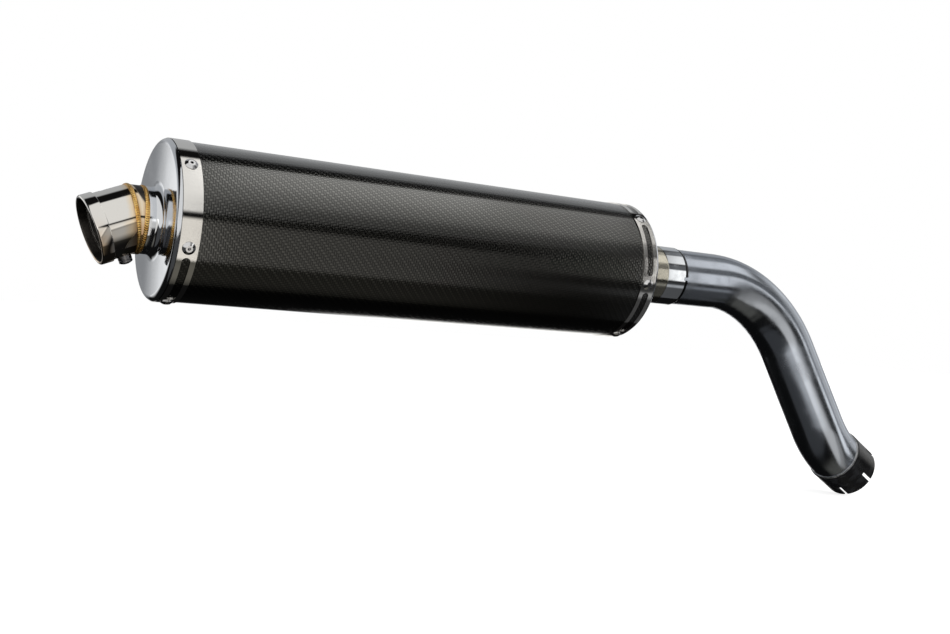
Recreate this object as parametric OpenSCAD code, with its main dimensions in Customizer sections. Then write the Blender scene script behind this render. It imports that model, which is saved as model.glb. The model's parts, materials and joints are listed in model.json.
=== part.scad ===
// Slip-on motorcycle silencer: a round carbon can with riveted end bands, a
// mitred outlet tip with a removable baffle, and a bent link pipe whose
// slotted socket clamps onto the header.
// The part's origin is the mouth of that socket. The can lies along X, with
// its outlet towards -X, and +Z is up.

/* [Silencer can] */
// Outer diameter over the end bands
can_d = 120; // [112:1:130]
// Length over the outer edges of the two end bands
can_len = 412; // [340:1:500]
// Wall thickness of the carbon sleeve
sleeve_wall = 2; // [1.5:0.1:2.5]
// Thickness of the band sheet
band_wall = 0.8; // [0.6:0.1:1]
// Width of an end band along the can
band_w = 14; // [13:0.5:18]
// Number of rivets through each end band
rivet_count = 6; // [4:1:8]
// Diameter of a rivet's flange
rivet_d = 9.5; // [7:0.1:10]
// Angle of the first rear rivet above the horizontal
rear_rivet_angle = 40; // [0:1:59]
// Angle of the first front rivet above the horizontal
front_rivet_angle = 48; // [0:1:59]
// Width of the slots in the bands
slot_w = 6.2; // [4:0.1:7]
// Angle that one slot spans, end to end
slot_span = 46; // [30:1:47]
// Gaps between rear rivets that are left solid, as a name panel
solid_gaps = 2; // [0:1:5]

/* [End caps] */
// Thickness of the pressed end caps
cap_wall = 1.4; // [1:0.1:2]
// How far a cap's face stands out past its band
cap_out = 3.6; // [3:0.1:4]
// Radius of the rounded edge between a cap's face and its side
cap_edge_r = 4.3; // [4.2:0.1:5]
// How far the outlet sits below the can's axis
outlet_drop = 1.5; // [0:0.1:3]
// Radius of the flare where the outlet neck leaves the rear cap
neck_flare = 5; // [2:0.5:8]

/* [Outlet tip] */
// Outer diameter of the outlet tube
tip_d = 49.3; // [46:0.1:54]
// Wall thickness of the outlet tube
tip_wall = 1.5; // [1:0.1:2]
// Downward angle of the tip
tip_angle = 22.5; // [10:0.5:30]
// Distance from the rear band's edge to the neck's weld
neck_len = 14.9; // [12:0.1:30]
// Distance along the outlet from the neck's weld to the mitre
elbow_len = 6.5; // [6:0.1:20]
// Length of the tip from the mitre to its mouth
tip_len = 30.1; // [28:0.1:60]
// Outer diameter of the rolled end ring
ring_d = 51.5; // [50:0.1:58]
// Length of the rolled end ring
ring_len = 9.2; // [6:0.1:14]

/* [Baffle] */
// Outer diameter of the baffle's perforated tube
baffle_d = 34; // [28:0.5:36]
// How far the baffle sits inside the tip's mouth
baffle_depth = 5; // [2:0.5:8]
// Length of the baffle's tube
baffle_len = 33; // [25:1:38]
// Distance of the retaining screw from the tip's mouth
screw_depth = 18; // [16:0.5:22]

/* [Inlet and core] */
// Outer diameter of the inlet stub
stub_d = 52.4; // [50:0.1:56]
// Wall thickness of the inlet stub
stub_wall = 1.5; // [1:0.1:2]
// Distance from the front band's edge to the collar
stub_len = 40.5; // [20:0.5:60]
// Outer diameter of the slotted inlet collar
collar_d = 53.3; // [53:0.1:56]
// Length of the slotted inlet collar
collar_len = 23; // [18:0.5:40]
// Number of clamping slots in the collar
collar_slots = 4; // [2:1:6]
// Outer diameter of the steel wool wrap round the core
wool_d = 60; // [54:1:80]

/* [Link pipe] */
// Outer diameter of the link pipe
pipe_d = 50.8; // [50:0.1:51]
// Wall thickness of the link pipe
pipe_wall = 1.5; // [1:0.1:2]
// Straight length from the collar to the first bend
straight_1 = 48; // [20:1:120]
// Centreline radius of the first bend
bend_1_r = 101.6; // [76:0.1:152]
// Angle of the first bend
bend_1_angle = 66.5; // [20:0.5:90]
// Turn of the first bend away from straight down
bend_1_turn = -12.5; // [-90:0.5:90]
// Straight length between the bends
straight_2 = 82; // [20:1:160]
// Centreline radius of the second bend
bend_2_r = 50.8; // [50:0.1:102]
// Angle of the second bend
bend_2_angle = 41.5; // [10:0.5:60]
// Turn of the second bend away from the first
bend_2_turn = 160.5; // [90:0.5:200]

/* [Header socket] */
// Outer diameter of the socket
socket_d = 53.8; // [53.4:0.1:57]
// Bore of the socket, which slips over a header of this size
socket_bore = 51.4; // [51.4:0.1:53]
// Length of the socket
socket_len = 32; // [24:1:60]
// Width of the clamping slots in the socket and the collar
clamp_slot_w = 3; // [2:0.1:4]
// Length of the clamping slots in the socket
socket_slot_len = 14; // [10:1:24]
// Number of clamping slots in the socket
socket_slots = 6; // [2:1:8]

/* [Hidden] */
$fn = 96;
can_r = can_d / 2;
sleeve_r = can_r - band_wall;
bore_r = sleeve_r - sleeve_wall;
skirt_r = bore_r - cap_wall;
half_len = can_len / 2;
rivet_x = half_len - band_w / 2;
rivet_pitch = 360 / rivet_count;
shank_r = 2.4;
mandrel_r = 1.2;
lip_gap = 0.5;
skirt_len = band_w + 2;
face_x = half_len + cap_out;
packing_len = can_len - 2 * (skirt_len + 2);

tip_r = tip_d / 2;
tip_bore_r = tip_r - tip_wall;
ring_r = ring_d / 2;
neck_x = -(half_len + neck_len);
mitre_x = neck_x - elbow_len;
roll_len = 1.6;
bead_w = 3.2;
bead_h = 0.7;

slide_gap = 0.08;
baffle_r = baffle_d / 2;
baffle_wall = 1.2;
flange_depth = 12;
flange_len = 12;
boss_r = 5;
boss_h = 2.4;
screw_r = 3;
screw_head_r = 4.9;
screw_head_h = 3;
screw_tip_gap = 0.4;

stub_r = stub_d / 2;
stub_bore_r = stub_r - stub_wall;
core_r = stub_bore_r;
core_wall = 1.2;
core_rear_x = -(half_len - 6);
core_front_x = half_len - 24;
stub_inner_x = core_front_x - 16;
collar_x = half_len + stub_len;
collar_end_x = collar_x + collar_len;
turn_gap = 0.06;
collar_bore_r = pipe_d / 2 + turn_gap;
pipe_r = pipe_d / 2;
insert_len = collar_len - 1.5;
bend_thinning = 0.12;
weld_lap = 0.2;
seat_len = 3;
collar_slot_len = 5;
collar_bevel_len = 2.4;
collar_bevel = 0.9;
collar_slot_angle = 5;
socket_slot_angle = 7;
open_r = can_r + 30;
far = 4 * can_r;

// A bend starts at the origin, heads along +Z and turns towards +X.
function bend_end(r, a) = [r * (1 - cos(a)), 0, r * sin(a)];
function turned(v, a) = [v[0] * cos(a) - v[1] * sin(a), v[0] * sin(a) + v[1] * cos(a), v[2]];
function tilted(v, a) = [v[0] * cos(a) + v[2] * sin(a), v[1], -v[0] * sin(a) + v[2] * cos(a)];

// The socket's mouth seen from the can's centre, worked back through the bends.
after_bend_2 = bend_end(bend_2_r, bend_2_angle) + tilted([0, 0, socket_len], bend_2_angle);
after_bend_1 = bend_end(bend_1_r, bend_1_angle)
    + tilted(turned(after_bend_2, bend_2_turn) + [0, 0, straight_2], bend_1_angle);
socket_mouth = [collar_end_x, 0, 0]
    + tilted(turned(after_bend_1, bend_1_turn) + [0, 0, straight_1], 90);

// ---------- places ----------

// Everything is drawn round the can's centre and moved to the socket's mouth.
module from_socket() { translate(-socket_mouth) children(); }

// A frame whose +Z runs along the can towards +X.
module along_can(x = 0, z = 0) { translate([x, 0, z]) rotate([0, 90, 0]) children(); }

// A frame at the mitre whose +Z leans down by the angle given, out of the tip.
module at_mitre(lean) {
    translate([mitre_x, 0, -outlet_drop]) rotate([0, -90 - lean, 0]) children();
}

// A frame at a rivet whose +Z points out of the can.
module at_rivet(x, angle) {
    translate([x, 0, 0]) rotate([90 - angle, 0, 0]) children();
}

module each_rivet(x, first) {
    for (i = [0 : rivet_count - 1])
        at_rivet(x, first + i * rivet_pitch) children();
}

// The frame at the end of the first bend, then at the start of the second.
module at_collar_end() { along_can(collar_end_x) rotate([0, 0, bend_1_turn]) children(); }

module past_bend(r, a) { translate(bend_end(r, a)) rotate([0, a, 0]) children(); }

module at_bend_1() { at_collar_end() translate([0, 0, straight_1]) children(); }

module at_straight_2() { at_bend_1() past_bend(bend_1_r, bend_1_angle) children(); }

module at_bend_2() {
    at_straight_2() translate([0, 0, straight_2]) rotate([0, 0, bend_2_turn]) children();
}

module at_socket() { at_bend_2() past_bend(bend_2_r, bend_2_angle) children(); }

// ---------- shapes ----------

module tube(outer, inner, length) {
    difference() {
        cylinder(r = outer, h = length);
        translate([0, 0, -1]) cylinder(r = inner, h = length + 2);
    }
}

// A bend in the link pipe. Drawing it round the former thins its wall a little
// on both faces, so each straight's end closes over the bend's.
module pipe_bend(bend_r, a) {
    translate([bend_r, 0, 0]) rotate([90, 0, 0]) rotate([0, 0, 180 - a])
        rotate_extrude(angle = a) translate([bend_r, 0]) difference() {
            circle(r = pipe_r - bend_thinning);
            circle(r = pipe_r - pipe_wall + bend_thinning);
        }
}

// A straight of the link pipe, run on a little past each end given.
module pipe_straight(length, back, on) {
    translate([0, 0, -back]) tube(pipe_r, pipe_r - pipe_wall, back + length + on);
}

// A half-round weld bead round a tube, centred on the origin's plane.
module bead(r, h) {
    rotate_extrude() translate([r, 0]) intersection() {
        translate([0, -bead_w / 2]) square([h, bead_w]);
        translate([h - bead_w / 2 - 0.2, 0]) circle(r = bead_w / 2 + 0.2);
    }
}

module clamp_slot_cut(length, count, first) {
    for (i = [0 : count - 1])
        rotate([0, 0, first + i * 360 / count]) translate([0, -clamp_slot_w / 2, 0])
            cube([can_r, clamp_slot_w, length]);
}

// One pop rivet, with its flange's underside on the band.
module pop_rivet() {
    head_h = 1.7;
    rim_h = 0.35;
    crown_r = 2.9;
    bulb_r = 3.4;
    bulb_h = 2.2;
    bulb_gap = 0.02;
    // The blind end's flat face clears the skirt, which curves away inside the can.
    grip = can_r - sqrt(skirt_r * skirt_r - bulb_r * bulb_r) + bulb_gap;
    difference() {
        union() {
            rotate_extrude() polygon([[0, 0], [rivet_d / 2, 0], [rivet_d / 2, rim_h],
                [crown_r, head_h - 0.2], [crown_r - 0.4, head_h], [0, head_h]]);
            translate([0, 0, -grip]) cylinder(r = shank_r, h = grip);
            translate([0, 0, -grip - bulb_h]) cylinder(r = bulb_r, h = bulb_h);
        }
        translate([0, 0, -grip]) cylinder(r = mandrel_r, h = far);
    }
}

// A slot in a band: round ends with a curved stretch between them.
module band_slot(x, middle) {
    end_angle = slot_span / 2 - asin(slot_w / 2 / can_r);
    for (s = [-1, 1])
        at_rivet(x, middle + s * end_angle) translate([0, 0, skirt_r])
            cylinder(r = slot_w / 2, h = open_r - skirt_r);
    straight_w = slot_w - 0.04;
    translate([x, 0, 0]) rotate([0, 90, 0]) rotate([0, 0, 270 - middle - end_angle])
        rotate_extrude(angle = 2 * end_angle) translate([skirt_r, -straight_w / 2])
            square([open_r - skirt_r, straight_w]);
}

// An end band with its rivet holes, and slots in the gaps that are numbered.
module end_band(x, first, gaps) {
    difference() {
        along_can(x - band_w / 2) tube(can_r, sleeve_r, band_w);
        each_rivet(x, first) translate([0, 0, skirt_r]) cylinder(r = shank_r, h = open_r - skirt_r);
        for (i = gaps) band_slot(x, first + (i + 0.5) * rivet_pitch);
    }
}

// Half outline of an end cap: a skirt inside the sleeve and a flat face with a
// rounded edge over the sleeve's end. X is the radius and Y runs out of the can.
module cap_outline(inner_r) {
    rim_r = can_r - 0.2;
    flat_r = rim_r - cap_edge_r;
    translate([skirt_r, half_len + band_wall - skirt_len]) square([cap_wall, skirt_len]);
    difference() {
        translate([inner_r, half_len + lip_gap]) square([rim_r - inner_r, cap_out - lip_gap]);
        translate([inner_r - 1, half_len]) square([flat_r - inner_r + 1, cap_out - cap_wall]);
        translate([flat_r, face_x - cap_edge_r]) difference() {
            square(cap_edge_r + 1);
            circle(r = cap_edge_r);
        }
    }
}

// ---------- rear cap and outlet tip ----------

module rear_cap() {
    flare_r = tip_r + neck_flare;
    color("silver") from_socket() difference() {
        union() {
            mirror([1, 0, 0]) along_can() rotate_extrude() cap_outline(0);
            translate([neck_x, 0, -outlet_drop]) rotate([0, 90, 0])
                cylinder(r = tip_r, h = -neck_x - face_x);
            translate([-face_x, 0, -outlet_drop]) rotate([0, -90, 0]) rotate_extrude()
                difference() {
                    square([flare_r, neck_flare]);
                    translate([flare_r, neck_flare]) circle(r = neck_flare);
                }
        }
        along_can(neck_x - 1, -outlet_drop) cylinder(r = tip_bore_r, h = neck_len + skirt_len);
        each_rivet(-rivet_x, rear_rivet_angle) cylinder(r = shank_r, h = open_r);
    }
}

module tip_elbow() {
    color("silver") from_socket() difference() {
        along_can(neck_x - 2 * elbow_len, -outlet_drop) tube(tip_r, tip_bore_r, 2 * elbow_len);
        at_mitre(tip_angle / 2) translate([-far, -far, 0]) cube(2 * far);
    }
}

module tip_tube() {
    color("silver") from_socket() difference() {
        at_mitre(tip_angle) translate([0, 0, -tip_r]) cylinder(r = tip_r, h = tip_len + tip_r - roll_len);
        at_mitre(tip_angle) translate([0, 0, -2 * tip_r]) cylinder(r = tip_bore_r, h = far);
        at_mitre(tip_angle / 2) translate([-far, -far, -2 * far]) cube(2 * far);
        at_screw() translate([0, 0, -far / 2]) cylinder(r = screw_r, h = far / 2);
    }
}

module tip_end_ring() {
    lip_r = (ring_r - tip_bore_r) / 2;
    color("silver") from_socket() at_mitre(tip_angle) translate([0, 0, tip_len - ring_len]) {
        tube(ring_r, tip_r, ring_len - roll_len);
        translate([0, 0, ring_len - roll_len]) rotate_extrude()
            translate([tip_bore_r, 0]) {
                square([2 * lip_r, roll_len / 2]);
                translate([roll_len / 2, 0]) square([2 * lip_r - roll_len, roll_len]);
                translate([roll_len / 2, roll_len / 2]) circle(r = roll_len / 2);
                translate([2 * lip_r - roll_len / 2, roll_len / 2]) circle(r = roll_len / 2);
            }
    }
}

module neck_weld() {
    color("goldenrod") from_socket() along_can(neck_x, -outlet_drop) bead(tip_r, bead_h);
}

// The mitre is slightly oval, so its bead is a round ring that sinks into the
// two tubes where they are widest, as a fused weld does.
module mitre_weld() {
    sunk = tip_r / cos(tip_angle / 2) - tip_r;
    color("goldenrod") from_socket() at_mitre(tip_angle / 2) bead(tip_r, bead_h + sunk / 2);
}

// ---------- baffle and its screw ----------

// A frame on the tip's underside whose +Z points out of the screw's hole.
module at_screw() {
    at_mitre(tip_angle) translate([-tip_r, 0, tip_len - screw_depth]) rotate([0, -90, 0]) children();
}

module screw_boss() {
    color("dimgray") from_socket() difference() {
        at_screw() translate([0, 0, -0.5]) tube(boss_r, screw_r, boss_h + 0.5);
        at_mitre(tip_angle) cylinder(r = tip_r, h = tip_len);
    }
}

module baffle_screw() {
    socket_r = 1.7;
    shank = boss_h + tip_wall - screw_tip_gap;
    color("dimgray") from_socket() at_screw() translate([0, 0, boss_h + 0.35]) difference() {
        union() {
            translate([0, 0, -shank - 0.35]) cylinder(r = screw_r - 0.06, h = shank + 0.35);
            cylinder(r = screw_head_r, h = screw_head_h / 2);
            rotate_extrude() translate([0, screw_head_h / 2]) intersection() {
                square([screw_head_r, screw_head_h / 2]);
                dome_r = (screw_head_r * screw_head_r + pow(screw_head_h / 2, 2)) / screw_head_h;
                translate([0, screw_head_h / 2 - dome_r]) circle(r = dome_r);
            }
        }
        translate([0, 0, 1]) cylinder(r = socket_r, h = screw_head_h, $fn = 6);
    }
}

// The flange slides in the tip's bore and carries the baffle's tube.
module baffle_flange() {
    outer_r = tip_bore_r - slide_gap;
    color("dimgray") from_socket() at_mitre(tip_angle)
        translate([0, 0, tip_len - flange_depth - flange_len]) {
            tube(outer_r, outer_r - baffle_wall, flange_len);
            translate([0, 0, flange_len - baffle_wall])
                tube(outer_r - baffle_wall, baffle_r, baffle_wall);
        }
}

module baffle_tube() {
    rows = 3;
    holes = 10;
    hole_r = 2;
    row_pitch = 6;
    first_row = 6;
    color("gray") from_socket() at_mitre(tip_angle) translate([0, 0, tip_len - baffle_depth - baffle_len])
        difference() {
            tube(baffle_r, baffle_r - baffle_wall, baffle_len);
            for (row = [0 : rows - 1])
                for (i = [0 : holes - 1])
                    rotate([0, 0, (i + (row % 2) / 2) * 360 / holes])
                        translate([0, 0, first_row + row * row_pitch]) rotate([0, 90, 0])
                            cylinder(r = hole_r, h = 2 * baffle_r, $fn = 24);
        }
}

module baffle_end_plate() {
    vent_r = 5;
    color("gray") from_socket() at_mitre(tip_angle)
        translate([0, 0, tip_len - baffle_depth - baffle_len - baffle_wall])
            tube(baffle_r, vent_r, baffle_wall);
}

// ---------- can ----------

module rear_band() {
    color("gainsboro") from_socket()
        end_band(-rivet_x, rear_rivet_angle, [for (i = [solid_gaps : rivet_count - 1]) -i]);
}

module front_band() {
    color("gainsboro") from_socket()
        end_band(rivet_x, front_rivet_angle, [0 : rivet_count - 1]);
}

module rear_rivets() {
    color("whitesmoke") from_socket()
        each_rivet(-rivet_x, rear_rivet_angle) translate([0, 0, can_r]) pop_rivet();
}

module front_rivets() {
    color("whitesmoke") from_socket()
        each_rivet(rivet_x, front_rivet_angle) translate([0, 0, can_r]) pop_rivet();
}

module carbon_sleeve() {
    color("black") from_socket() difference() {
        along_can(-half_len + 0.3) tube(sleeve_r, bore_r, can_len - 0.6);
        each_rivet(-rivet_x, rear_rivet_angle) cylinder(r = shank_r, h = open_r);
        each_rivet(rivet_x, front_rivet_angle) cylinder(r = shank_r, h = open_r);
    }
}

// The core's rear end slips in this ring, so that it can grow as it heats.
module core_slip_ring() {
    ring_wall = 1.5;
    color("silver") from_socket() {
        inner_r = core_r + 0.3;
        along_can(-face_x + cap_wall) difference() {
            union() {
                cylinder(r = inner_r + ring_wall, h = 16);
                cylinder(r = inner_r + 6, h = ring_wall);
            }
            translate([0, 0, -1]) cylinder(r = inner_r, h = 20);
        }
    }
}

module perforated_core() {
    hole_r = 3;
    holes = 6;
    rows = 12;
    row_pitch = 26;
    first_row = 40;
    color("lightgray") from_socket() along_can(core_rear_x) difference() {
        tube(core_r, core_r - core_wall, core_front_x - core_rear_x);
        for (row = [0 : rows - 1])
            for (i = [0 : holes / 2 - 1])
                rotate([0, 0, (i + (row % 2) / 2) * 360 / holes])
                    translate([-2 * core_r, 0, first_row + row * row_pitch]) rotate([0, 90, 0])
                        cylinder(r = hole_r, h = 4 * core_r, $fn = 24);
    }
}

module steel_wool_wrap() {
    color("darkgray") from_socket() along_can(-packing_len / 2)
        tube(wool_d / 2, core_r, stub_inner_x + packing_len / 2 - 2);
}

module glass_wool_packing() {
    color("lightyellow") from_socket() along_can(-packing_len / 2)
        tube(bore_r, wool_d / 2, packing_len);
}

// ---------- inlet ----------

module front_cap() {
    hub_len = 6;
    color("silver") from_socket() difference() {
        along_can() rotate_extrude() {
            cap_outline(stub_r);
            translate([stub_r, face_x - cap_wall - hub_len]) square([cap_wall, hub_len + cap_wall]);
        }
        each_rivet(rivet_x, front_rivet_angle) cylinder(r = shank_r, h = open_r);
    }
}

module inlet_stub() {
    color("tan") from_socket() along_can(stub_inner_x)
        tube(stub_r, stub_bore_r, collar_x - stub_inner_x);
}

module inlet_collar() {
    color("silver") from_socket() along_can(collar_x) difference() {
        rotate_extrude() polygon([[collar_bore_r, 0], [collar_d / 2, 0],
            [collar_d / 2, collar_len - collar_bevel_len],
            [collar_d / 2 - collar_bevel, collar_len], [collar_bore_r, collar_len]]);
        translate([0, 0, collar_len - collar_slot_len])
            clamp_slot_cut(2 * collar_slot_len, collar_slots, collar_slot_angle);
    }
}

// ---------- link pipe ----------

module link_pipe() {
    color("slategray") from_socket() {
        at_collar_end() pipe_straight(straight_1, insert_len, weld_lap);
        at_bend_1() pipe_bend(bend_1_r, bend_1_angle);
        at_straight_2() pipe_straight(straight_2, weld_lap, weld_lap);
        at_bend_2() pipe_bend(bend_2_r, bend_2_angle);
        at_socket() pipe_straight(seat_len, weld_lap, 0);
    }
}

// The socket is open for the header and has a narrow seat on the pipe's end.
module header_socket() {
    color("black") from_socket() at_socket() difference() {
        cylinder(r = socket_d / 2, h = socket_len);
        translate([0, 0, -1]) cylinder(r = pipe_r, h = 1 + seat_len);
        translate([0, 0, seat_len]) cylinder(r = socket_bore / 2, h = socket_len);
        translate([0, 0, socket_len - socket_slot_len])
            clamp_slot_cut(2 * socket_slot_len, socket_slots, socket_slot_angle);
    }
}

module socket_weld() {
    color("silver") from_socket() at_socket() rotate_extrude() translate([pipe_r, 0]) intersection() {
        translate([0, -bead_w]) square([socket_d / 2 - pipe_r, bead_w]);
        circle(r = bead_w / 2);
    }
}

rear_cap();
tip_elbow();
tip_tube();
tip_end_ring();
neck_weld();
mitre_weld();
screw_boss();
baffle_screw();
baffle_flange();
baffle_tube();
baffle_end_plate();
rear_band();
rear_rivets();
carbon_sleeve();
core_slip_ring();
perforated_core();
steel_wool_wrap();
glass_wool_packing();
front_cap();
front_band();
front_rivets();
inlet_stub();
inlet_collar();
link_pipe();
header_socket();
socket_weld();
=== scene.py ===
import json
import math
import random

import bmesh
import bpy
from mathutils import Euler, Matrix, Vector


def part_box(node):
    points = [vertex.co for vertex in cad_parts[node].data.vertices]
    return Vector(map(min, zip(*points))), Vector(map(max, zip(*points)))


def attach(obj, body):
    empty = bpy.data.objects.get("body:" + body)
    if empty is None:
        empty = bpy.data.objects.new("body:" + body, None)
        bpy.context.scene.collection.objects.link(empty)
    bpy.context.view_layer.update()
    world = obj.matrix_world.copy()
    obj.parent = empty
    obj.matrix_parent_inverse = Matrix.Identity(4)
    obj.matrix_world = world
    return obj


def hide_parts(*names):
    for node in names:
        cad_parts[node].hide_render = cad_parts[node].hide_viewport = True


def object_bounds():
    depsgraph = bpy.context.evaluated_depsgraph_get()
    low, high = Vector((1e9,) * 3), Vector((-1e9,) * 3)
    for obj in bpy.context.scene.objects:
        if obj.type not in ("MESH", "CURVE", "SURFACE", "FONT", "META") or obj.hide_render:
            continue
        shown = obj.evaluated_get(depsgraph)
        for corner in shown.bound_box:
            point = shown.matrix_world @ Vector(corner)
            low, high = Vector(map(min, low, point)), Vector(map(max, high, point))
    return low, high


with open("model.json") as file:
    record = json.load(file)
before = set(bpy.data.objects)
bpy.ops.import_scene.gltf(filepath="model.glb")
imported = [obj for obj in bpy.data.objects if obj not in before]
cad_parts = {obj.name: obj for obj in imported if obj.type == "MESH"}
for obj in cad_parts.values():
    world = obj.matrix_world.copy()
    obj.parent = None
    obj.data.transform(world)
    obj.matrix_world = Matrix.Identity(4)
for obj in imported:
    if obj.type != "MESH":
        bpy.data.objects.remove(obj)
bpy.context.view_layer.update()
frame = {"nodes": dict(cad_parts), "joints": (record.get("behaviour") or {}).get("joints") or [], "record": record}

# ---------- places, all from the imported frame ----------


def centre_of(node):
    low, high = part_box(node)
    return (low + high) / 2


def half_width(node):
    low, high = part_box(node)
    return (high.y - low.y) / 2


def span_along(node, axis):
    """Where a node starts and ends along an axis through the row's origin."""
    reach = [v.co.dot(axis) for v in frame["nodes"][node].data.vertices]
    return min(reach), max(reach)


MM = 0.001
X, Y = Vector((1, 0, 0)), Vector((0, 1, 0))
CAN = centre_of("carbon_sleeve")
CAN_R = half_width("rear_band")
NECK = centre_of("neck_weld")
MITRE = centre_of("mitre_weld")
TIP_R = half_width("tip_elbow")
TIP_WALL = 1.5 * MM
TIP_AXIS = Vector(next(j["axis"] for j in frame["joints"] if j["name"] == "baffle_slide"))
MITRE_NORMAL = (TIP_AXIS - X).normalized()
SOCKET_AXIS = Vector(next(m["axis"] for m in frame["record"]["mounts"] if m["name"] == "header_socket"))
COLLAR_END = Vector((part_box("inlet_collar")[1].x, CAN.y, CAN.z))
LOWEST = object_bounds()[0].z

# The link pipe's own dimensions: its straights, and each bend's radius, its angle in degrees and
# how far the tube is rolled before it.
PIPE_R, PIPE_WALL = 25.4 * MM, 1.5 * MM
PIPE_INSERT, STRAIGHT_1, STRAIGHT_2, PIPE_SEAT = 21.5 * MM, 48 * MM, 82 * MM, 3 * MM
BEND_1_R, BEND_1_ANGLE, BEND_1_TURN = 101.6 * MM, 66.5, -12.5
BEND_2_R, BEND_2_ANGLE, BEND_2_TURN = 50.8 * MM, 41.5, 160.5


# ---------- node graphs ----------


class Graph:
    """A node tree with short calls for the few kinds of node used here."""

    def __init__(self, tree):
        self.tree = tree
        tree.nodes.clear()

    def add(self, kind, output=0, **inputs):
        """Makes a node, fills its named inputs and gives one of its outputs."""
        node = self.tree.nodes.new(kind)
        for key, value in inputs.items():
            self.put(node.inputs[key.replace("_", " ")], value)
        return node.outputs[output]

    def put(self, socket, value):
        """Links another node's output to a socket, or sets the socket to a value."""
        if isinstance(value, bpy.types.NodeSocket):
            self.tree.links.new(value, socket)
        elif isinstance(value, tuple) and len(value) == 3 and socket.type == "RGBA":
            socket.default_value = (*value, 1.0)
        else:
            socket.default_value = value

    def maths(self, operation, *values, kind="ShaderNodeMath", output="Value"):
        node = self.tree.nodes.new(kind)
        node.operation = operation
        for socket, value in zip(node.inputs, values):
            self.put(socket, value)
        return node.outputs[output]

    def vector_maths(self, operation, *values, output="Vector"):
        return self.maths(operation, *values, kind="ShaderNodeVectorMath", output=output)

    def times(self, one, other):
        return self.maths("MULTIPLY", one, other)

    def grow(self, value, rate, start):
        """A value times a rate, on top of a start."""
        return self.maths("MULTIPLY_ADD", value, rate, start)

    def step(self, value, start, end):
        """0 below start, 1 above end and smooth between them."""
        made = self.add("ShaderNodeMapRange", Value=value, From_Min=start, From_Max=end)
        made.node.interpolation_type = "SMOOTHSTEP"
        return made

    def fade(self, value, start, end):
        """1 below start, 0 above end and smooth between them."""
        return self.maths("SUBTRACT", 1.0, self.step(value, start, end))

    def blend(self, factor, low, high, mode="MIX"):
        """Mixes two colours: low at factor 0, high at 1."""
        node = self.tree.nodes.new("ShaderNodeMix")
        node.data_type = "RGBA"
        node.blend_type = mode
        self.put(node.inputs[0], factor)
        self.put(node.inputs[6], low)
        self.put(node.inputs[7], high)
        return node.outputs[2]

    def either(self, choice, off, on):
        """Mixes two numbers: off at choice 0, on at 1."""
        return self.add("ShaderNodeMix", Factor=choice, A=off, B=on)

    def along_axis(self, origin, axis):
        """How far the point being shaded lies from origin along an axis."""
        return self.vector_maths("DOT_PRODUCT", self.place(origin), axis, output="Value")

    def off_axis(self, origin, axis):
        """How far the point being shaded lies from a line through origin."""
        across = self.vector_maths("CROSS_PRODUCT", self.place(origin), axis)
        return self.vector_maths("LENGTH", across, output="Value")

    def distance_off(self, origin, axis):
        """How far the point being shaded lies from the plane through origin across an axis."""
        return self.maths("ABSOLUTE", self.along_axis(origin, axis))

    def noise(self, vector, scale, detail):
        return self.add("ShaderNodeTexNoise", Vector=vector, Scale=scale, Detail=detail)

    def place(self, offset=Vector((0, 0, 0)), scale=(1, 1, 1)):
        """The point being shaded, in metres, seen from offset and scaled."""
        at = self.add("ShaderNodeTexCoord", output="Object")
        return self.add("ShaderNodeMapping", Vector=self.vector_maths("SUBTRACT", at, offset), Scale=scale)

    def parts(self, vector):
        return tuple(self.add("ShaderNodeSeparateXYZ", Vector=vector).node.outputs)

    def bump(self, height, distance, strength=1.0):
        return self.add("ShaderNodeBump", Height=height, Distance=distance, Strength=strength)


def material(name):
    made = bpy.data.materials.new(name)
    made.use_nodes = True
    return made, Graph(made.node_tree)


def finish_surface(g, **inputs):
    """Ends a material in one principled shader with these inputs."""
    output = g.tree.nodes.new("ShaderNodeOutputMaterial")
    g.put(output.inputs[0], g.add("ShaderNodeBsdfPrincipled", **inputs))


def darker(colour, share):
    return tuple(c * share for c in colour)


# ---------- materials ----------


def waves_in(g):
    """Faint waves, as any pressed or drawn sheet has."""
    return g.noise(g.place(CAN), 30.0, 1.0)


def smears_on(g, scale, detail):
    """Smears, where a polished face has been touched."""
    return g.step(g.noise(g.place(CAN), scale, detail), 0.45, 0.75)


def tube_polish(g, roughness):
    """A polished tube's roughness with its smears, and its bump with faint waves."""
    gloss = g.grow(smears_on(g, 90.0, 5.0), 0.08, roughness)
    return gloss, g.bump(g.times(waves_in(g), 0.05), MM)


def polished(name, colour, roughness, buffed=(1, 40, 40), buff=0.004, wave=0.05, smudge=0.06, crown=0.0):
    """Polished sheet with smears. Buffed stretches its buffing lines; buff, wave and crown are in mm."""
    made, g = material(name)
    lines = g.noise(g.place(CAN, scale=buffed), 700.0, 3.0)
    smears = smears_on(g, 45.0, 6.0)
    height = g.maths("ADD", g.times(lines, buff), g.times(waves_in(g), wave))
    if crown:
        out = g.maths("DIVIDE", g.off_axis(CAN, X), CAN_R)
        height = g.maths("ADD", height, g.times(g.times(out, out), -crown))
    finish_surface(
        g,
        Base_Color=g.blend(g.times(smears, smudge * 3), colour, darker(colour, 0.8)),
        Metallic=1.0,
        Roughness=g.grow(smears, smudge, roughness),
        Normal=g.bump(height, MM),
    )
    return made


STRAW, BROWN, SCORCHED = (0.86, 0.62, 0.3), (0.36, 0.17, 0.06), (0.62, 0.4, 0.2)
SOOT_DARK, SOOT_LIGHT = (0.035, 0.032, 0.03), (0.1, 0.092, 0.085)


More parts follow.
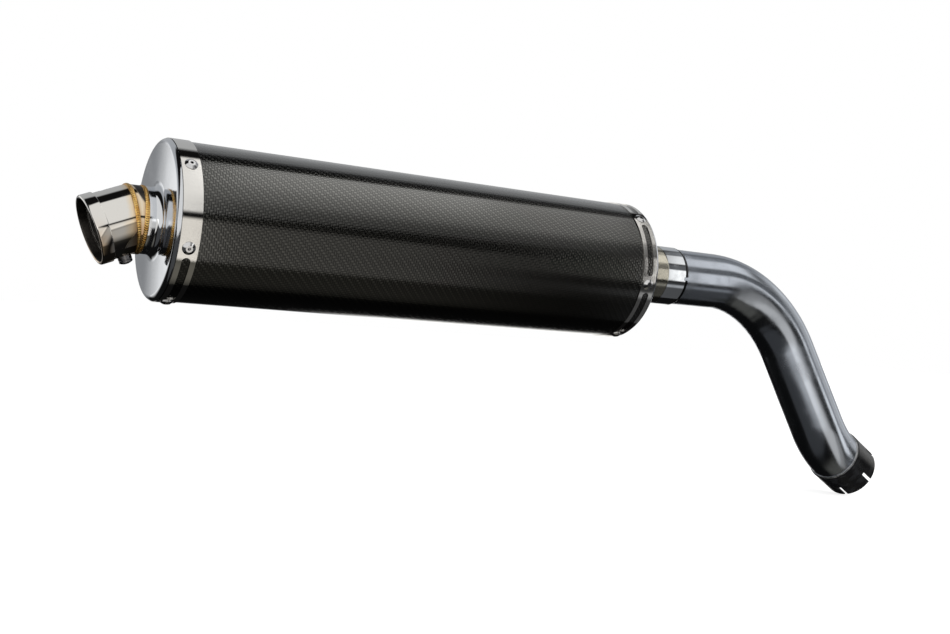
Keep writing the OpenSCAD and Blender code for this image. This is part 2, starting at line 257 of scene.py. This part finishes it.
def heat_tinted(name, colour, roughness):
    """Polished tube, straw and brown beside its two beads, and black with soot inside."""
    made, g = material(name)
    x, _, z = g.parts(g.place(NECK))
    outside = g.step(g.off_axis(MITRE, TIP_AXIS), TIP_R - 1.3 * MM, TIP_R - 0.9 * MM)
    blotch = g.noise(g.place(MITRE), 110.0, 5.0)
    # The tint reaches further from the beads on the underside, and its edge is blotchy.
    off_bead = g.maths("MINIMUM", g.maths("ABSOLUTE", x), g.distance_off(MITRE, MITRE_NORMAL))
    spread = g.grow(g.fade(z, -24 * MM, 8 * MM), 4.0 * MM, 3.4 * MM)
    reach = g.maths("DIVIDE", off_bead, g.times(spread, g.maths("ADD", blotch, 0.5)))
    tone = g.blend(g.times(g.fade(reach, 0.5, 2.2), 0.6), colour, STRAW)
    tone = g.blend(g.times(g.fade(reach, 0.1, 1.0), 0.75), tone, BROWN)
    # The underside is scorched towards the mouth.
    mouth = g.along_axis(MITRE, TIP_AXIS)
    scorch = g.times(g.step(mouth, 14 * MM, 30 * MM), g.fade(z, -30 * MM, 0.0))
    patches = g.times(scorch, g.step(blotch, 0.25, 0.6))
    tone = g.blend(g.times(patches, 0.8), tone, SCORCHED)
    inside = g.blend(g.step(blotch, 0.3, 0.7), SOOT_DARK, SOOT_LIGHT)
    gloss, waves = tube_polish(g, roughness)
    finish_surface(
        g,
        Base_Color=g.blend(outside, inside, tone),
        Metallic=1.0,
        Roughness=g.either(outside, 0.5, gloss),
        Normal=waves,
    )
    return made


def weld_metal(name, colour, dark, valley_shade_colour, roughness):
    """TIG bead: patches of two tones, with painted shade in the valleys between its ripples."""
    made, g = material(name)
    at = g.place(MITRE)
    blotch = g.noise(at, 260.0, 4.0)
    fine = g.noise(at, 2200.0, 3.0)
    tone = g.blend(g.step(blotch, 0.35, 0.65), colour, dark)
    # Painted shade: the bead darkens where its surface is hollow, in the valleys between its ripples.
    painted_valley_shade = g.fade(g.add("ShaderNodeNewGeometry", output="Pointiness"), 0.46, 0.52)
    tone = g.blend(g.times(painted_valley_shade, 0.85), tone, valley_shade_colour)
    finish_surface(
        g,
        Base_Color=tone,
        Metallic=1.0,
        Roughness=g.grow(fine, 0.2, roughness),
        Normal=g.bump(fine, 0.2 * MM, 0.5),
    )
    return made


# Weft tows round the sleeve, and how many warp tows the weave leans by in one turn. Both are
# multiples of 4, the twill's repeat, so the twill runs unbroken over its seam.
WEFT_ROWS = 192
WARP_LEAN = 24
WARP_PITCH = 1.65 * MM
TWILL_REPEAT = 4.0
# Tow colours: the weft brighter than the warp is painted sheen, and the near black at a tow's edge is painted
# shade between the tows; the strand colour is the fibres' own.
TOW_WEFT_SHEEN, TOW_WARP_SHADE = (0.125, 0.125, 0.116), (0.08, 0.08, 0.074)
TOW_EDGE_SHADE, TOW_STRAND = (0.004, 0.004, 0.004), (0.012, 0.012, 0.011)


def carbon_twill(name):
    """2/2 twill of carbon tows under clear lacquer, wrapped round the can, with painted sheen and painted shade on
    its tows.
    """
    made, g = material(name)
    x, y, z = g.parts(g.place(CAN))
    turns = g.maths("DIVIDE", g.maths("ARCTAN2", y, z), 2 * math.pi)
    across = g.grow(turns, float(WARP_LEAN), g.maths("DIVIDE", x, WARP_PITCH))
    up = g.times(turns, float(WEFT_ROWS))
    column, row = g.maths("FLOOR", across), g.maths("FLOOR", up)
    phase = g.maths("FLOORED_MODULO", g.maths("ADD", column, row), TWILL_REPEAT)
    weft_up = g.maths("LESS_THAN", phase, TWILL_REPEAT / 2 - 0.5)
    in_column, in_row = g.maths("FRACT", across), g.maths("FRACT", up)

    def arch(value, power):
        return g.maths("POWER", g.maths("SINE", g.times(value, math.pi)), power)

    # A float runs over two crossings, so its arch is twice as long as it is wide.
    second = g.maths("FLOORED_MODULO", phase, 2.0)
    weft_run = g.times(g.maths("ADD", second, in_column), 0.5)
    warp_run = g.times(g.maths("ADD", second, in_row), 0.5)
    weft = g.times(arch(in_row, 0.5), arch(weft_run, 0.8))
    warp = g.times(arch(in_column, 0.5), arch(warp_run, 0.8))
    height = g.either(weft_up, warp, weft)
    along_x = g.noise(g.place(CAN, scale=(1, 22, 22)), 380.0, 2.0)
    around_x = g.noise(g.place(CAN, scale=(22, 1, 1)), 380.0, 2.0)
    strands = g.either(weft_up, around_x, along_x)
    # Painted sheen and shade: weft tows take a brighter colour than warp tows, and each tow fades to near black
    # towards its edges.
    tone = g.blend(weft_up, g.blend(height, TOW_EDGE_SHADE, TOW_WARP_SHADE), g.blend(height, TOW_EDGE_SHADE, TOW_WEFT_SHEEN))
    drape = g.noise(g.place(CAN), 45.0, 2.0)
    print_through = g.grow(drape, 2.0, height)
    finish_surface(
        g,
        Base_Color=g.blend(g.times(strands, 0.35), tone, TOW_STRAND),
        Metallic=1.0,
        Roughness=g.grow(strands, 0.1, 0.1),
        Normal=g.bump(height, 0.2 * MM, 0.4),
        Coat_Weight=1.0,
        Coat_Roughness=0.02,
        Coat_IOR=1.5,
        Coat_Normal=g.bump(print_through, 0.02 * MM, 0.7),
    )
    return made


def satin_black(name):
    """Satin black coat, worn greyer in patches."""
    made, g = material(name)
    fine = g.noise(g.place(), 1800.0, 3.0)
    worn = g.noise(g.place(), 120.0, 5.0)
    tone = g.blend(g.step(worn, 0.45, 0.8), (0.004, 0.0042, 0.005), (0.016, 0.017, 0.019))
    finish_surface(
        g,
        Base_Color=tone,
        Metallic=0.3,
        Roughness=g.grow(worn, 0.14, 0.2),
        Normal=g.bump(fine, 0.1 * MM, 0.3),
    )
    return made


def dull_metal(name, colour, roughness):
    """Unpolished metal, darker in patches."""
    made, g = material(name)
    fine = g.noise(g.place(CAN), 500.0, 4.0)
    soot = g.noise(g.place(CAN), 80.0, 4.0)
    finish_surface(
        g,
        Base_Color=g.blend(g.step(soot, 0.4, 0.75), colour, darker(colour, 0.6)),
        Metallic=1.0,
        Roughness=g.grow(fine, 0.15, roughness),
        Normal=g.bump(fine, 0.2 * MM, 0.4),
    )
    return made


def sooty_baffle(name):
    """Steel blackened by exhaust, rubbed bright only on the rim at the mouth."""
    made, g = material(name)
    mouth = max(span_along("baffle_tube", TIP_AXIS)[1], span_along("baffle_flange", TIP_AXIS)[1])
    rim = g.step(g.along_axis(TIP_AXIS * mouth, TIP_AXIS), -1.1 * MM, -0.3 * MM)
    grime = g.noise(g.place(MITRE), 260.0, 5.0)
    dark = g.blend(g.step(grime, 0.35, 0.7), (0.012, 0.011, 0.01), (0.05, 0.045, 0.04))
    finish_surface(
        g,
        Base_Color=g.blend(rim, dark, (0.6, 0.58, 0.55)),
        Metallic=g.grow(rim, 0.7, 0.3),
        Roughness=g.grow(rim, -0.4, 0.65),
        Normal=g.bump(grime, 0.3 * MM, 0.5),
    )
    return made


def fibre_fill(name, colour, shadow):
    """Wool packed in the can, its strands darker between them."""
    made, g = material(name)
    strands = g.noise(g.place(CAN, scale=(1, 5, 5)), 600.0, 6.0)
    tone = g.blend(g.step(strands, 0.35, 0.65), shadow, colour)
    finish_surface(g, Base_Color=tone, Roughness=0.9, Normal=g.bump(strands, 2 * MM, 0.8))
    return made


def collar_with_shaded_end(name, colour, roughness, end_x, shade_from):
    """The collar: polished, with painted shade on its bevelled end, its last millimetres coloured near black for
    the dark gap where the pipe enters.
    """
    made, g = material(name)
    x, _, _ = g.parts(g.place(Vector((end_x, 0, 0))))
    # Painted shade: near black and rougher over the last few millimetres before the collar's end.
    end = g.step(x, -shade_from - 0.2 * MM, -shade_from + 0.2 * MM)
    gloss, waves = tube_polish(g, roughness)
    finish_surface(
        g,
        Base_Color=g.blend(end, colour, (0.012, 0.012, 0.013)),
        Metallic=1.0,
        Roughness=g.grow(end, 0.3, gloss),
        Normal=waves,
    )
    return made


STEEL = polished("steel_polished", (0.72, 0.74, 0.775), 0.06, wave=0.12, smudge=0.1, crown=2.2)
BAND = polished("steel_band", (0.8, 0.785, 0.76), 0.045, buffed=(40, 1, 1))
TIP = heat_tinted("steel_heat_tinted", (0.8, 0.785, 0.755), 0.03)
# The collar's last 3.6 mm carry painted shade.
COLLAR = collar_with_shaded_end("steel_collar", (0.74, 0.765, 0.8), 0.05, COLLAR_END.x, 3.6 * MM)
LINK = polished("steel_link", (0.45, 0.485, 0.545), 0.18, buffed=(12, 12, 1), wave=0.12, smudge=0.1)
STUB = polished("steel_satin", (0.6, 0.57, 0.48), 0.09, buffed=(60, 1, 1), buff=0.02)
CARBON = carbon_twill("carbon_twill")
# Each weld's third colour is the painted shade in its valleys.
GOLD = weld_metal("weld_gold", (0.98, 0.66, 0.24), (0.72, 0.38, 0.09), (0.12, 0.05, 0.015), 0.14)
GREY_WELD = weld_metal("weld_grey", (0.5, 0.51, 0.53), (0.28, 0.29, 0.31), (0.05, 0.05, 0.05), 0.25)
RIVET = polished("steel_rivet", (0.7, 0.7, 0.71), 0.1)
SCREW = dull_metal("steel_screw", (0.16, 0.155, 0.16), 0.18)
BAFFLE = sooty_baffle("steel_baffle")
CORE = dull_metal("steel_core", (0.5, 0.5, 0.5), 0.35)
BLACK = satin_black("satin_black")
WOOL = fibre_fill("steel_wool", (0.42, 0.42, 0.43), (0.12, 0.12, 0.12))
GLASS = fibre_fill("glass_wool", (0.86, 0.82, 0.66), (0.5, 0.46, 0.34))

FINISH = {
    STEEL: ["rear_cap", "front_cap"],
    BAND: ["rear_band", "front_band"],
    TIP: ["tip_elbow", "tip_tube"],
    SCREW: ["screw_boss", "baffle_screw"],
    BAFFLE: ["baffle_flange", "baffle_tube", "baffle_end_plate"],
    RIVET: ["rear_rivets", "front_rivets"],
    CARBON: ["carbon_sleeve"],
    CORE: ["core_slip_ring", "perforated_core"],
    WOOL: ["steel_wool_wrap"],
    GLASS: ["glass_wool_packing"],
    STUB: ["inlet_stub"],
    COLLAR: ["inlet_collar"],
    BLACK: ["header_socket"],
}
for surface, nodes in FINISH.items():
    for node in nodes:
        for slot in frame["nodes"][node].material_slots:
            slot.material = surface

# ---------- pieces ----------


def ring_mesh(name, rings, surface):
    """Skins a list of equal rings of points, one after another and back to the first."""
    mesh = bpy.data.meshes.new(name)
    count = len(rings[0])
    points = [point for ring in rings for point in ring]
    faces = []
    for i in range(len(rings)):
        here, there = i * count, (i + 1) % len(rings) * count
        for j in range(count):
            k = (j + 1) % count
            faces.append((here + j, here + k, there + k, there + j))
    mesh.from_pydata(points, [], faces)
    mesh.update()
    bm = bmesh.new()
    bm.from_mesh(mesh)
    bmesh.ops.recalc_face_normals(bm, faces=bm.faces)
    bm.to_mesh(mesh)
    bm.free()
    mesh.shade_smooth()
    mesh.materials.append(surface)
    made = bpy.data.objects.new(name, mesh)
    bpy.context.scene.collection.objects.link(made)
    return made


def stand_in(piece, body, node):
    """Puts a piece on its body in place of a CAD node."""
    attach(piece, body)
    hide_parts(node)


BEAD_SECTION = 14  # faces across a bead's crown
BEAD_SINK, BEAD_ROOT = 0.12, 0.6  # how deep its edges and its root lie in the tube, in mm
ROOT_EDGES = (0.3, -0.3)  # where the root's edges lie, in bead widths
RIPPLE_STEPS = 8  # faces along one ripple
RIPPLE_BOW = 0.6  # how far a ripple's edges lie ahead of its middle, in ripples
COIN_EDGE = 0.97  # how near its rim a coin's round crown is carried, in radii
VALLEY = 0.3  # the least height between ripples, in bead heights
SWELL, SWAY = (0.8, 1.1), (-0.06, 0.06)  # how a ripple's height and place vary by hand


def weld_bead(name, centre, side, up, radii, width, height, pitch, surface):
    """A TIG bead round a tube: overlapping crescents, like coins laid along the seam."""
    axis = side.cross(up)
    ripples = round(2 * math.pi * sum(radii) / 2 / pitch)
    steps = ripples * RIPPLE_STEPS
    draw = random.Random(ripples)
    swell = [draw.uniform(*SWELL) for _ in range(ripples)]
    sway = [draw.uniform(*SWAY) for _ in range(ripples)]
    rings = []
    for i in range(steps):
        angle = 2 * math.pi * i / steps
        base = centre + side * radii[0] * math.cos(angle) + up * radii[1] * math.sin(angle)
        out = (side * math.cos(angle) / radii[0] + up * math.sin(angle) / radii[1]).normalized()
        ring = []
        for k in range(BEAD_SECTION + 1):
            across = 2 * k / BEAD_SECTION - 1
            crescent = i / RIPPLE_STEPS - RIPPLE_BOW * across * across
            coin = math.floor(crescent) % ripples
            along = crescent - math.floor(crescent)
            crown = math.sqrt(max(0.0, 1 - (2 * COIN_EDGE * along - COIN_EDGE) ** 2))
            rise = height * swell[coin] * (1 - across * across) ** 0.6 * (VALLEY + (1 - VALLEY) * crown)
            ring.append(base + out * (rise - BEAD_SINK * MM) + axis * width * (across / 2 + sway[coin] / 4))
        for edge in ROOT_EDGES:
            ring.append(base - out * BEAD_ROOT * MM + axis * width * edge)
        rings.append(ring)
    return ring_mesh(name, rings, surface)


def lathe(name, outline, centre, axis, surface):
    """Turns an outline of (radius, distance along the axis) points round the axis."""
    segments = 192
    side = axis.cross(Y).normalized()
    up = axis.cross(side)
    rings = []
    for i in range(segments):
        angle = 2 * math.pi * i / segments
        out = side * math.cos(angle) + up * math.sin(angle)
        rings.append([centre + out * radius + axis * along for radius, along in outline])
    return ring_mesh(name, rings, surface)


def arc(middle_r, middle_along, radius, start, end, steps):
    """Points of a lathe's outline on an arc, from one angle in degrees to another."""
    turns = [math.radians(start + (end - start) * i / steps) for i in range(steps + 1)]
    return [(middle_r + radius * math.cos(t), middle_along + radius * math.sin(t)) for t in turns]


def tip_ring():
    """The outlet's rolled end ring, its rear edge eased and its lip a half-round roll."""
    start, end = span_along("tip_end_ring", TIP_AXIS)
    centre = MITRE - TIP_AXIS * MITRE.dot(TIP_AXIS)
    outer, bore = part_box("tip_end_ring")[1].y - CAN.y, TIP_R - TIP_WALL
    ease, roll = 0.45 * MM, (outer - bore) / 2
    # The outline starts a little inside the tube's face, and comes back along the bore.
    outline = [(TIP_R - 0.1 * MM, start + 0.3 * MM), (TIP_R + 0.12 * MM, start + 0.1 * MM)]
    outline += arc(outer - ease, start + ease, ease, -90, 0, 6)
    outline += arc(bore + roll, end - roll, roll, 0, 180, 20)
    outline += [(bore, start + 1.0 * MM), (bore, start + 0.4 * MM)]
    return lathe("tip_end_ring_rolled", outline, centre, TIP_AXIS, TIP)


def pipe_stations():
    """Stations down the link pipe: centre, turn, roll so far, and a bend's pull and length so far."""
    turn = Matrix.Rotation(math.radians(90), 3, "Y")
    at = COLLAR_END - X * PIPE_INSERT
    rolled = 0.0
    stations = []

    def straight(length, steps):
        nonlocal at
        for i in range(steps):
            stations.append((at + turn @ Vector((0, 0, length * i / steps)), turn.copy(), rolled, 0.0, 0.0))
        at = at + turn @ Vector((0, 0, length))

    def round_bend(radius, part):
        place = at + turn @ Vector((radius * (1 - math.cos(part)), 0, radius * math.sin(part)))
        return place, turn @ Matrix.Rotation(part, 3, "Y")

    def bend(radius, angle, steps):
        nonlocal at, turn
        for i in range(steps):
            part = math.radians(angle) * i / steps
            pull = math.sin(math.pi * i / steps) ** 0.5
            stations.append((*round_bend(radius, part), rolled, pull, radius * part))
        at, turn = round_bend(radius, math.radians(angle))

    def roll(angle):
        nonlocal turn, rolled
        turn = turn @ Matrix.Rotation(math.radians(angle), 3, "Z")
        rolled += math.radians(angle)

    roll(BEND_1_TURN)
    straight(PIPE_INSERT + STRAIGHT_1, steps=14)
    bend(BEND_1_R, BEND_1_ANGLE, steps=72)
    straight(STRAIGHT_2, steps=14)
    roll(BEND_2_TURN)
    bend(BEND_2_R, BEND_2_ANGLE, steps=64)
    straight(PIPE_SEAT, steps=2)
    stations.append((at, turn, rolled, 0.0, 0.0))
    return stations


def bent_pipe():
    """The link pipe drawn in one piece, a little flattened and rippled where it was bent."""
    around = 128
    flatten, widen, ripple, ripple_pitch = 0.35 * MM, 0.2 * MM, 0.05 * MM, 11 * MM
    outer_rings, inner_rings = [], []
    for at, turn, rolled, pull, bent in pipe_stations():
        outside, inside = [], []
        for j in range(around):
            angle = 2 * math.pi * j / around - rolled
            inward, beside = math.cos(angle), math.sin(angle)
            squeeze = pull * (widen * beside * beside - flatten * inward * inward)
            crease = pull * ripple * max(0.0, inward) ** 3 * math.sin(2 * math.pi * bent / ripple_pitch)
            out = turn @ Vector((inward, beside, 0))
            outside.append(at + out * (PIPE_R + squeeze + crease))
            inside.append(at + out * (PIPE_R - PIPE_WALL + squeeze))
        outer_rings.append(outside)
        inner_rings.append(inside)
    return ring_mesh("link_pipe_drawn", outer_rings + inner_rings[::-1], LINK)


mitre_side = MITRE_NORMAL.cross(Y).normalized()
half_mitre = X.angle(-TIP_AXIS) / 2
socket_start = SOCKET_AXIS * span_along("header_socket", SOCKET_AXIS)[0]
socket_side = SOCKET_AXIS.cross(Y).normalized()

stand_in(
    weld_bead(
        "neck_weld_bead", NECK, Vector((0, 0, 1)), Y, radii=(TIP_R, TIP_R),
        width=3.6 * MM, height=0.7 * MM, pitch=1.7 * MM, surface=GOLD,
    ),
    "silencer", "neck_weld",
)
stand_in(
    weld_bead(
        "mitre_weld_bead", MITRE, mitre_side, Y, radii=(TIP_R / math.cos(half_mitre), TIP_R),
        width=3.4 * MM, height=0.65 * MM, pitch=1.7 * MM, surface=GOLD,
    ),
    "silencer", "mitre_weld",
)
stand_in(
    weld_bead(
        "socket_weld_bead", socket_start - SOCKET_AXIS * 0.8 * MM, socket_side,
        SOCKET_AXIS.cross(socket_side), radii=(PIPE_R, PIPE_R),
        width=3.6 * MM, height=1.3 * MM, pitch=1.3 * MM, surface=GREY_WELD,
    ),
    "link_pipe", "socket_weld",
)
stand_in(tip_ring(), "silencer", "tip_end_ring")
stand_in(bent_pipe(), "link_pipe", "link_pipe")

# ---------- studio ----------

# The studio's softboxes, placed by direction: by the angle in degrees round the can from the
# camera's side (0) over the top (90) to the back (180), negative below, and by how far the
# direction points along the can (-1 to 1). Each row has the lowest and highest angle, how much
# each of these leans for a unit along the can, over how many degrees each fades, the span along
# the can, that span's softness, the brightness and the tint.
WARM, NEUTRAL, OLIVE, COOL = (1.0, 0.965, 0.905), (1.0, 0.99, 0.965), (1.0, 0.96, 0.82), (0.96, 0.98, 1.0)
SOFTBOXES = {
    "key": (2, 89, 40, 34, 3, 3, -1.3, 0.295, 0.01, 0.84, NEUTRAL),
    "key_near": (2, 96, 40, 8, 5, 2.5, 0.295, 0.605, 0.015, 0.4, NEUTRAL),
    "key_near_middle": (28, 96, 26, 8, 12, 2.5, 0.295, 0.605, 0.015, 0.75, NEUTRAL),
    "key_near_upper": (56, 96, 10, 8, 14, 2.5, 0.295, 0.5, 0.015, 0.7, NEUTRAL),
    "low_front": (-36, 4, -72, 0, 3, 3, -0.35, 0.3, 0.02, 0.82, WARM),
    "low_front_near": (-56, 4, 0, 0, 4, 4, 0.3, 0.5, 0.06, 0.42, WARM),
    "low_left": (-150, 0, 0, 0, 20, 20, -1.3, -0.35, 0.05, 0.06, COOL),
    "olive_wall": (-96, -54, 0, 0, 14, 14, -0.05, 0.5, 0.08, 0.12, OLIVE),
    "back_wall": (118, 164, 0, 0, 5, 5, -1.3, 1.3, 0.05, 0.46, COOL),
    "behind_cap": (164, 190, 0, 0, 5, 5, -1.3, 1.3, 0.05, 0.27, COOL),
    "behind_cap_side": (160, 200, 0, 0, 12, 12, -0.8, -0.28, 0.09, 0.75, NEUTRAL),
    "back_low": (168, 203, 0, 0, 6, 6, 0.4, 0.85, 0.04, 1.0, NEUTRAL),
    "pipe_front": (-18, 25, 0, 0, 3, 3, 0.625, 0.8, 0.01, 1.5, NEUTRAL),
    "pipe_low": (-46, -35, 0, 0, 4, 4, 0.6, 0.8, 0.04, 0.35, COOL),
    "pipe_dim": (25, 45, 0, 0, 3, 3, 0.62, 1.3, 0.02, 0.14, COOL),
    "pipe_top": (50, 88, 0, 0, 4, 4, 0.625, 0.76, 0.02, 1.25, NEUTRAL),
    "pipe_under": (-150, -30, 0, 0, 25, 25, 0.6, 1.3, 0.02, 0.08, COOL),
    "pipe_edge": (88, 114, 0, 0, 6, 6, 0.625, 1.3, 0.02, 0.3, COOL),
    "side_wall": (20, 130, 0, 0, 20, 20, 0.84, 1.3, 0.06, 0.7, NEUTRAL),
}
AMBIENT = 0.006  # light from every other direction
SEAM = 260.0  # where the angle starts over, at SEAM - 360; a box that reaches lower stops there
CAMERA_FROM_CAN, CAMERA_TURN = Vector((-0.4329, -0.8685, -0.0488)), (89.81, -4.725, -29.804)


def studio_world():
    """A white backdrop for the camera, and the softboxes for everything else."""
    world = bpy.data.worlds.new("studio")
    bpy.context.scene.world = world
    world.use_nodes = True
    g = Graph(world.node_tree)
    x, y, z = g.parts(g.add("ShaderNodeTexCoord", output="Generated"))
    angle = g.times(g.maths("ARCTAN2", z, g.times(y, -1.0)), 180 / math.pi)
    angle = g.maths("WRAP", angle, SEAM, SEAM - 360)
    total = (AMBIENT, AMBIENT, AMBIENT)
    for box in SOFTBOXES.values():
        low, high, lean_low, lean_high, fade_low, fade_high, start, end, blur, bright, tint = box
        above_low = g.maths("SUBTRACT", angle, g.grow(x, float(lean_low), float(low)))
        below_high = g.maths("SUBTRACT", g.grow(x, float(lean_high), float(high)), angle)
        round_can = g.times(g.step(above_low, -fade_low, fade_low), g.step(below_high, -fade_high, fade_high))
        along_can = g.times(g.step(x, start - blur, start + blur), g.step(x, end + blur, end - blur))
        glow = g.blend(g.times(round_can, along_can), (0.0, 0.0, 0.0), tuple(bright * c for c in tint))
        total = g.blend(1.0, total, glow, "ADD")
    seen = g.add("ShaderNodeLightPath", output="Is Camera Ray")
    lights = g.add("ShaderNodeBackground", Color=total, Strength=1.0)
    backdrop = g.add("ShaderNodeBackground", Color=(1.0, 1.0, 1.0), Strength=1.0)
    mixed = g.add("ShaderNodeMixShader")
    for socket, value in zip(mixed.node.inputs, (seen, lights, backdrop)):
        g.put(socket, value)
    g.put(g.tree.nodes.new("ShaderNodeOutputWorld").inputs[0], mixed)


def floor():
    """A plain pale floor under the part."""
    half = 6.0
    mesh = bpy.data.meshes.new("floor")
    corners = [(-half, -half, 0), (half, -half, 0), (half, half, 0), (-half, half, 0)]
    mesh.from_pydata(corners, [], [(0, 1, 2, 3)])
    made = bpy.data.objects.new("floor", mesh)
    made.location = (CAN.x, CAN.y, LOWEST)
    bpy.context.scene.collection.objects.link(made)
    paint, g = material("floor_paint")
    finish_surface(
        g, Base_Color=(0.9, 0.9, 0.9), Roughness=0.9, Emission_Color=(1.0, 1.0, 1.0), Emission_Strength=0.75
    )
    mesh.materials.append(paint)
    made.visible_glossy = False


def camera():
    """The camera, placed from the can's centre and turned in degrees."""
    data = bpy.data.cameras.new("camera")
    data.lens = 45.02
    data.sensor_width = 36.0
    made = bpy.data.objects.new("camera", data)
    made.location = CAN + CAMERA_FROM_CAN
    made.rotation_euler = Euler([math.radians(angle) for angle in CAMERA_TURN])
    bpy.context.scene.collection.objects.link(made)
    bpy.context.scene.camera = made


studio_world()
floor()
camera()
bpy.context.scene.view_settings.view_transform = "Standard"
